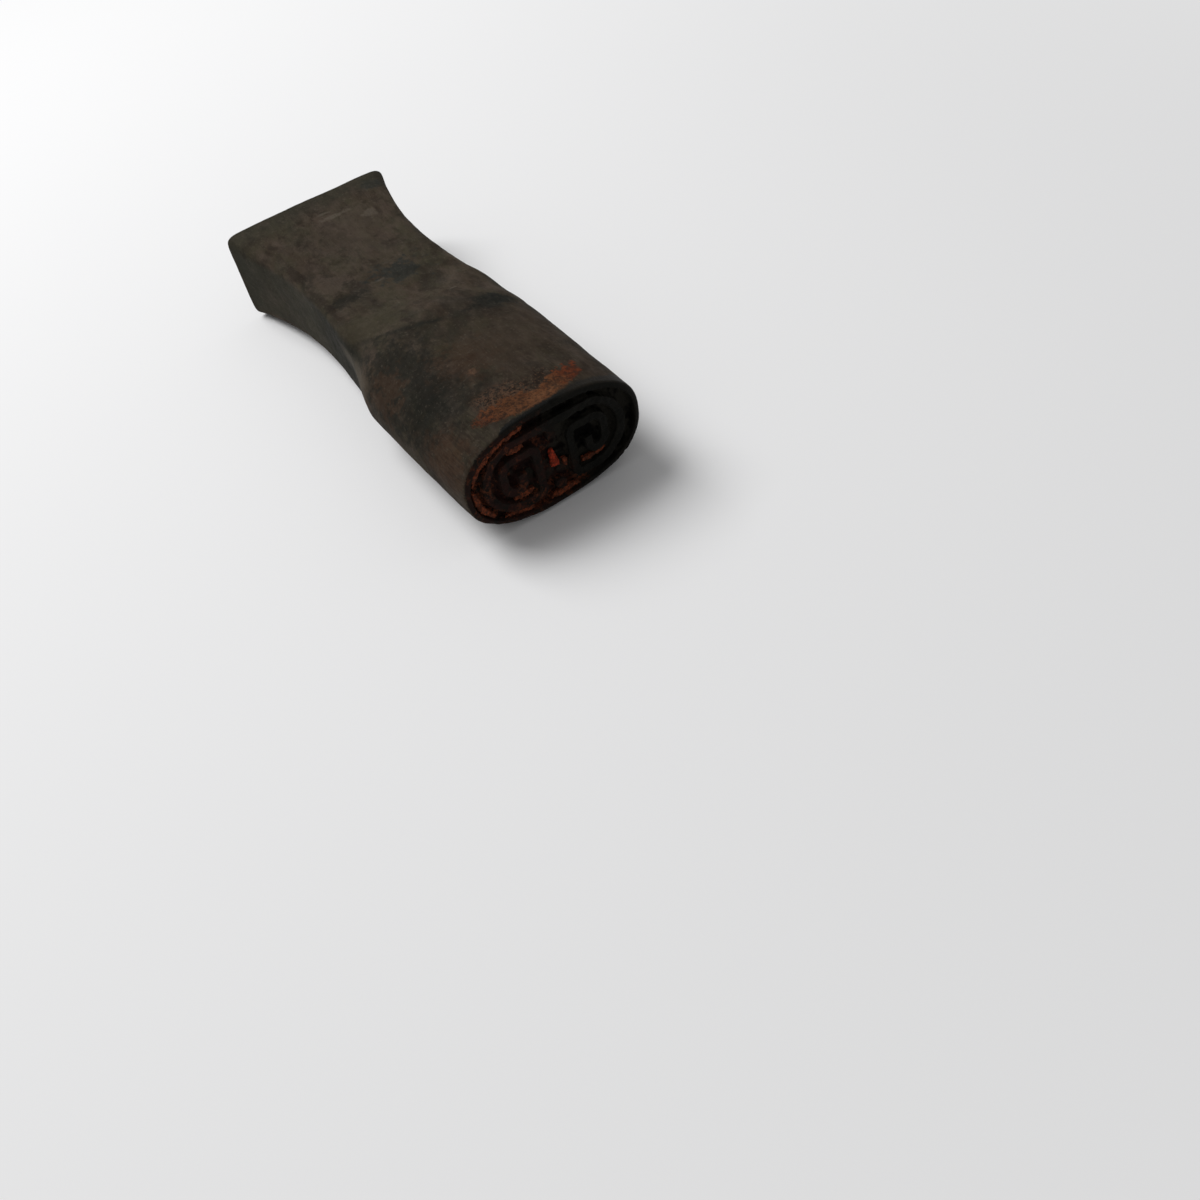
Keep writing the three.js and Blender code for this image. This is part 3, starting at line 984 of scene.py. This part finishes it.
def rubbed_patch(place, tone, clouds, specks):
    """The tone with the patch laid over it, and the patch's own mask."""
    x, y, z = axes_of(place)
    wander, torn, crumbs = clouds
    on_top = rise(z, 4.0, 6.0)
    mottle = blotches(place, 0.28, 0.50, 0.16, 18)
    rub_low = PATCH_FROM + x * x * 0.033
    dip = fall(size_of(x - 1.6), 0.6, 3.4) * 1.6
    rub_high = PATCH_TO - dip + size_of(x) * 0.06 + rise(x, 4, 9) * 0.5
    border = crumbs * 0.9 + torn * 1.5 + wander * 1.5
    from_low = rise(y - rub_low + crumbs * 0.5, 0.2, 0.9)
    to_high = fall(y - rub_high + border - 1.9, -0.6, 0.4)
    sideways = fall(size_of(x + 0.2) + crumbs * 0.8 + torn * 0.6, 10.9, 11.8) * on_top
    rubbed = from_low * to_high * sideways
    rubbed = rubbed * mix(rise(torn + crumbs, 0.45, 1.05), 1.0, rise(x, -10.0, -7.5))

    fringe = rise(y - rub_high, -1.8, -0.4) * fall(y - rub_high + wander, 2.8, 5.4)
    fringe = fringe * rise(x, -9.5, -6.5) * fall(x, 4.0, 7.5) * on_top
    tone = paint(tone, DARK_BROWN, fringe * rise(torn, 0.35, 0.7) * 0.9)
    bright = (crumbs * 0.7 + mottle * 0.5) * mix(1.0, 0.6, rise(x, -3.0, 2.0))
    tone = paint(tone, TAN, fringe * rise(bright, 0.46, 0.70) * mix(0.5, 0.95, wander))

    redder = rise(size_of(x + 0.5) + wander * 3, 6.5, 10.5) * mix(0.6, 1.0, rise(x, -4, 4))
    rub_tone = paint(OCHRE, RED_OCHRE, redder)
    core = blotches(place, 1.8, 0.48, 0.12, 17, 5.0) * (1 - redder)
    rub_tone = paint(rub_tone, SAND, core * mix(0.10, 0.50, rise(x, -5.0, 3.0)))
    flecks = rise(mottle * 0.30 + crumbs * 0.25 + torn * 0.45 + (1 - to_high) * 0.5, 0.22, 0.80)
    rub_tone = paint(rub_tone, DARK_BROWN, flecks * mix(0.90, 0.75, rise(x, -9.0, 0.0)))
    rub_tone = paint(rub_tone, DARK_BROWN, specks * 0.15)
    return paint(tone, rub_tone, rubbed * 0.95), rubbed


print("the patch lies", PATCH_FROM, "to", PATCH_TO, "mm behind the die's face")

# %% [markdown]
# Last comes the band of ink at the rim, which is wider on the right. The wood was never varnished, so the
# shader is dull, with pores as fine bumps.

# %% The ink band and the whole finish of the wood
def ink_band(place, clouds):
    """Where ink has soaked into the wood beside the die."""
    x, y, _ = axes_of(place)
    wander, _, crumbs = clouds
    reach = mix(0.7, 1.9, rise(x, -9.5, -7.5)) + rise(x, 3, 8) + rise(x, 13, 16) * 1.2
    return fall(y + wander * 0.4 + crumbs * 0.3, reach * 0.75, reach * 1.1)


def wood_finish():
    finish, shader, place = new_finish("worn_hardwood")
    x, _, _ = axes_of(place)
    clouds = wood_clouds(place)
    wander, torn, _ = clouds
    grit = effect("grit", place, Size=0.35, Seed=2.0)
    tone = grime_and_shade_on_wood(place)
    tone = flank_and_crease(place, tone, wander)
    tone = scratches_and_edges(place, tone, torn)
    tone, rubbed = rubbed_patch(place, tone, clouds, grit["Specks"])
    band = ink_band(place, clouds)
    tone = paint(tone, INK, band * mix(1.0, 0.78, rise(x, 2.0, 7.0)))

    roughness = mix(mix(0.60, 0.8, wander), 0.5, band)
    pores = effect("scratches", place, Length=2.4, Width=0.16, Share=0.35, Seed=11.0)["Mask"]
    skin = blotches(place, 0.7, 0.5, 0.35, 12)
    height = skin * 0.5 - pores * 0.5 + rubbed * grit["Height"] * 0.8
    surface(shader, tone, roughness, WOOD_SHINE, height, WOOD_GRAIN)
    return finish


worn_hardwood = wood_finish()
print("nodes of the wood:", len(worn_hardwood.node_tree.nodes))

# %% [markdown]
# ## The inked die
#
# The raised strokes are black from ink and a little polished by the pad. In the grooves, old paste has left
# a red-brown film, most of it on the left. The film is a mask of blotches on the left half, a little
# stronger in low places.

# %% Colours of the die
FLAT_INK = (0.0050, 0.0049, 0.0040)
WORN_INK = (0.0095, 0.0088, 0.0070)
# Painted light: lighter than the ink, so that the shaded groove floors come out nearly as light as the
# strokes.
GROOVE_PAINTED_LIGHT = (0.0190, 0.0175, 0.0140)
WELL_BLACK = (0.0018, 0.0016, 0.0014)
PLUM_FILM = (0.0240, 0.0100, 0.0085)
SMEAR = (0.1500, 0.0440, 0.0200)
DIE_GRAIN = 0.09 * MM
print("deepest bump on the die in mm:", DIE_GRAIN / MM)


# %% The inked die's finish
def die_finish():
    finish, shader, place = new_finish("inked_die")
    x, y, z = axes_of(place)
    stands_out = edge_mark(place.tree)
    ring = oval_measure(x, z, field_half_width / MM, field_half_height / MM)
    inside = fall(ring, 0.97, 1.06)
    low = rise(y, 0.45, 1.0) * inside
    left = fall(x + z * 0.3, -6.0, 4.0)
    cloudy = blotches(place, 2.6, 0.46, 0.12, 21)
    torn = blotches(place, 0.8, 0.5, 0.15, 22, 6.0)
    clumps = blotches(place, 3.2, 0.53, 0.06, 24, 3.0)
    grit = effect("grit", place, Size=0.3, Seed=5.0)

    film = cloudy * left * mix(0.75, 0.9, low)
    wall = rise(ring, 0.62, 0.80) * fall(ring, 0.97, 1.02)
    round_left = fall(x - z * 0.5, -7.0, 1.0)
    bottom = fall(z, -8.0, -6.5) * fall(x, 4.0, 8.0)
    smear = larger(wall * larger(round_left, bottom) * rise(torn, 0.25, 0.70),
                   left * clumps * rise(torn, 0.35, 0.75) * mix(0.60, 0.85, low))
    worn = rise(stands_out, 0.1, 1.2) * (1 - low)

    wells = blotches(place, 3.0, 0.52, 0.06, 26, 2.0)
    # Low places take a tone painted lighter than the ink, as painted light that makes up for the shade in
    # the grooves, with near-black blotches in it.
    tone = paint(FLAT_INK, paint(GROOVE_PAINTED_LIGHT, WELL_BLACK, wells), low)
    tone = paint(tone, WORN_INK, blotches(place, 1.6, 0.55, 0.10, 25) * (1 - low) * 0.6)
    tone = paint(tone, PLUM_FILM, film)
    tone = paint(tone, SMEAR, smear * mix(0.9, 0.4, grit["Specks"]))
    tone = paint(tone, WORN_INK, worn * 0.5)
    roughness = mix(mix(0.5, 0.7, low), 0.85, larger(film, smear))
    cuts = effect("scratches", place, Length=1.6, Width=0.18, Share=0.4, Seed=13.0)["Mask"]
    skin = blotches(place, 0.5, 0.5, 0.35, 23)
    height = skin * 0.5 - cuts * 0.4 + smear * grit["Height"]
    surface(shader, tone, roughness, WOOD_SHINE, height, DIE_GRAIN)
    return finish


inked_die = die_finish()
add_maker(seal, marks_maker, Outside=worn_hardwood, Die=inked_die)
settle(seal, SEAL_TO_PART)
bpy.data.objects.remove(fret)
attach(seal, "root")
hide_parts("seal_block")
print("triangles of the block:", triangles(seal), "finishes:", [m.name for m in seal.data.materials])

# %% [markdown]
# ## The dried paste
#
# Seal paste is pigment in oil. It dries to crumbly crusts that cling to the grooves. Each crust in the
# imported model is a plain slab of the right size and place. A copy of the slab is the start here. The tree
# roughens it, scatters crumbs over it as instances, makes one skin of everything by way of a volume, and
# ends with a plain mesh again, because instances don't survive an export. Points that lie closer together
# than a small share of a voxel are merged at the end, so that no sliver is left in the skin.

# %% Sizes of the crusts
PASTE_SIZES = {
    "Voxel": 0.08 * MM,
    "Lump size": 0.7 * MM,
    "Lump depth": 0.42 * MM,
    "Rise to face": 0.20 * MM,
    "Crumb size": 0.15 * MM,
    "Crumb spacing": 0.38 * MM,
    "Seed": 3,
}
BAND_VOXELS = 3
SKIN_THRESHOLD = 0.1
LUMP_LEVEL = 0.42
LUMP_SEED = 1.7
HEAP_SEED = 2.3
SMALLEST_CRUMB = 0.5
LARGEST_CRUMB = 1.6
MERGE_SHARE = 0.04
print("sizes of the paste:", len(PASTE_SIZES))


# %% The tree that cakes a slab
def paste_tree():
    finishes = {"Finish": "NodeSocketMaterial"}
    tree, given, out = new_maker("caked_paste", {**PASTE_SIZES, **finishes})
    voxel = given["Voxel"]

    def one_skin(mesh):
        """One closed skin round everything in the mesh, made by way of a volume."""
        volume = first(tree, "GeometryNodeMeshToVolume",
                       {"Mesh": mesh, "Voxel Size": voxel, "Interior Band Width": voxel * BAND_VOXELS},
                       resolution_mode="VOXEL_SIZE")
        return first(tree, "GeometryNodeVolumeToMesh", {"Volume": volume, "Threshold": SKIN_THRESHOLD},
                     resolution_mode="GRID")

    slab = one_skin(given["Geometry"])
    lumps = noise(tree, given["Lump size"], given["Seed"] * LUMP_SEED, 3.0)
    rough = pushed(tree, slab, (lumps - LUMP_LEVEL) * 2 * given["Lump depth"])
    heaped = rise(noise(tree, given["Lump size"] * 2, given["Seed"] * HEAP_SEED, 1.0), 0.3, 0.7)
    rough = moved_by(tree, rough, vector(tree, y=heaped * given["Rise to face"] * -1))
    gap = given["Crumb spacing"]
    points = put(tree, "GeometryNodeDistributePointsOnFaces",
                 {"Mesh": rough, "Distance Min": gap, "Density Max": 1 / (gap * gap), "Seed": given["Seed"]},
                 distribute_method="POISSON")
    crumb = first(tree, "GeometryNodeMeshIcoSphere", {"Radius": given["Crumb size"], "Subdivisions": 1})
    spread = first(tree, "FunctionNodeRandomValue",
                   {0: (SMALLEST_CRUMB,) * 3, 1: (LARGEST_CRUMB,) * 3, "Seed": given["Seed"]},
                   data_type="FLOAT_VECTOR")
    crumbs = first(tree, "GeometryNodeInstanceOnPoints",
                   {"Points": points.outputs["Points"], "Instance": crumb,
                    "Rotation": points.outputs["Rotation"], "Scale": spread})
    real = first(tree, "GeometryNodeRealizeInstances", {"Geometry": crumbs})
    caked = one_skin(joined(tree, rough, real))
    clean = first(tree, "GeometryNodeMergeByDistance", {"Geometry": caked, "Distance": voxel * MERGE_SHARE})
    smooth = first(tree, "GeometryNodeSetShadeSmooth", {"Geometry": clean})
    finished = first(tree, "GeometryNodeSetMaterial", {"Geometry": smooth, "Material": given["Finish"]})
    plug(tree, finished, out.inputs[0])
    return tree


paste_maker = paste_tree()
print("paste tree nodes:", len(paste_maker.nodes))

# %% The paste's finish
PASTE_RED = (0.3200, 0.0330, 0.0130)
PASTE_ORANGE = (0.1700, 0.0390, 0.0150)
PASTE_DARK = (0.0260, 0.0100, 0.0060)
PASTE_GRAIN = 0.05 * MM
PASTE_SHINE = 0.10


def paste_finish():
    finish, shader, place = new_finish("caked_paste")
    x, _, z = axes_of(place)
    grit = effect("grit", place, Size=0.25, Seed=6.0)
    vivid = fall(size_of(x + 0.4), 1.2, 2.0) * rise(z, -5.0, -4.0)
    tone = paint(PASTE_ORANGE, PASTE_RED, vivid)
    crumbled = blotches(place, 0.6, 0.50, 0.10, 32)
    tone = paint(tone, PASTE_DARK, crumbled * mix(0.85, 0.60, vivid))
    tone = paint(tone, PASTE_DARK, grit["Specks"] * 0.45)
    height = grit["Height"]
    surface(shader, tone, mix(0.8, 0.95, height), PASTE_SHINE, height, PASTE_GRAIN)
    return finish


caked_paste = paste_finish()
print("nodes of the paste:", len(caked_paste.node_tree.nodes))

# %% One lumpy crust for each slab
WELD = 0.001 * MM


def cake(node, seed):
    """A lumpy crust that takes the place of one slab."""
    copy = frame["nodes"][node].data.copy()
    copy.materials.clear()
    crust = new_piece(node.replace("paste_", "caked_"), copy)
    weld = crust.modifiers.new("weld", "WELD")
    weld.merge_threshold = WELD
    add_maker(crust, paste_maker, Seed=seed, Finish=caked_paste)
    settle(crust)
    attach(crust, "root")
    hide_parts(node)
    return crust


slabs = sorted(node for node in frame["nodes"] if node.startswith("paste_"))
crusts = [cake(node, seed) for seed, node in enumerate(slabs, start=3)]
for crust in crusts:
    print(crust.name, "triangles:", triangles(crust))

# %% [markdown]
# ## Floor, light and camera
#
# The seal lies on a plain pale floor. The light is one big soft lamp behind it on the left and an even sky,
# which together light a white card to just under white. The camera looks from the same side as the photo.
#
# The sky that lights the seal well is weak, and would look grey behind it. So what the camera sees is kept
# apart from what lights things. Light Path tells which rays come from the camera, straight or by way of a
# mirror or a glass. For those rays alone the sky is nearly white, and far from the seal the floor turns into
# the same plain white, so that no horizon shows. Near the seal the floor is a real surface with its shadow.

# %% What the camera sees behind the seal
BACKDROP = 0.92
REAL_FLOOR_TO = 0.12
BACKDROP_FROM = 0.50


def seen_rays(tree):
    """1 for the rays that show things to the camera, and 0 for those that only carry light."""
    path = put(tree, "ShaderNodeLightPath")
    names = ("Is Camera Ray", "Is Glossy Ray", "Is Transmission Ray")
    camera_ray, mirror_ray, glass_ray = (Term(tree, path.outputs[name]) for name in names)
    return larger(larger(camera_ray, mirror_ray), glass_ray)


print("the floor is a real surface up to", REAL_FLOOR_TO, "m from the seal")

# %% The floor
FLOOR_SIZE = 3.0
FLOOR_COLOUR = (0.84, 0.84, 0.845)
FLOOR_ROUGHNESS = 0.9

floor_mesh = bpy.data.meshes.new("pale_floor")
half = FLOOR_SIZE / 2
floor_corners = [(-half, -half, 0), (half, -half, 0), (half, half, 0), (-half, half, 0)]
floor_mesh.from_pydata(floor_corners, [], [(0, 1, 2, 3)])
floor = new_piece("pale_floor", floor_mesh)
floor_finish = bpy.data.materials.new("pale_floor")
floor_finish.use_nodes = True
floor_tree = floor_finish.node_tree
floor_shader = floor_tree.nodes["Principled BSDF"]
floor_place = put(floor_tree, "ShaderNodeTexCoord").outputs["Object"]
from_seal = put(floor_tree, "ShaderNodeVectorMath", {0: floor_place}, operation="LENGTH")
far_off = rise(Term(floor_tree, from_seal.outputs["Value"]), REAL_FLOOR_TO, BACKDROP_FROM)
plain = far_off * seen_rays(floor_tree)
floor_tone = paint(FLOOR_COLOUR, (0, 0, 0), plain)
fill(floor_tree, floor_shader, {"Base Color": floor_tone, "Roughness": FLOOR_ROUGHNESS,
                                "Specular IOR Level": 0, "Emission Color": (1, 1, 1, 1),
                                "Emission Strength": plain * BACKDROP})
floor_mesh.materials.append(floor_finish)
print("floor side in m:", FLOOR_SIZE)

# %% The lamp and the sky
SKY_STRENGTH = 0.32
LAMP_PLACE = Vector((-0.30, 0.52, 0.80))
LAMP_SIZE = 0.6
LAMP_POWER = 9.0

sky = bpy.data.worlds.new("even_sky")
sky.use_nodes = True
sky_tree = sky.node_tree
brightness = mix(SKY_STRENGTH, BACKDROP, seen_rays(sky_tree))
fill(sky_tree, sky_tree.nodes["Background"], {"Color": (1, 1, 1, 1), "Strength": brightness})
bpy.context.scene.world = sky

lamp_data = bpy.data.lights.new("soft_lamp", "AREA")
lamp_data.shape = "SQUARE"
lamp_data.size = LAMP_SIZE
lamp_data.energy = LAMP_POWER
lamp = new_piece("soft_lamp", lamp_data)
lamp.location = LAMP_PLACE
lamp.rotation_euler = (-LAMP_PLACE).to_track_quat("-Z", "Y").to_euler()
print("lamp stands", round(LAMP_PLACE.length, 2), "m from the seal")

# %% [markdown]
# The camera is placed by numbers that were worked out from the photographed outline: where it stands, the
# point on the floor that it looks at, how far it is turned about its own axis, and its focal length.

# %% The camera
CAMERA_PLACE = Vector((-60.88, -178.98, 137.29)) * MM
CAMERA_AIM = Vector((-8.64, -71.19, 0)) * MM
CAMERA_ROLL = math.radians(-12.036)
FOCAL_LENGTH = 33.70
SENSOR_WIDTH = 36
CLIP_RANGE = (0.01, 10)

camera_data = bpy.data.cameras.new("camera")
camera_data.lens = FOCAL_LENGTH
camera_data.sensor_width = SENSOR_WIDTH
camera_data.clip_start, camera_data.clip_end = CLIP_RANGE
camera = new_piece("camera", camera_data)
looking = (CAMERA_AIM - CAMERA_PLACE).to_track_quat("-Z", "Y").to_matrix().to_4x4()
camera.matrix_world = Matrix.Translation(CAMERA_PLACE) @ looking @ Matrix.Rotation(CAMERA_ROLL, 4, "Z")
bpy.context.scene.camera = camera
bpy.context.scene.view_settings.view_transform = "Standard"
print("camera stands", round((CAMERA_PLACE - CAMERA_AIM).length / MM), "mm from what it looks at")
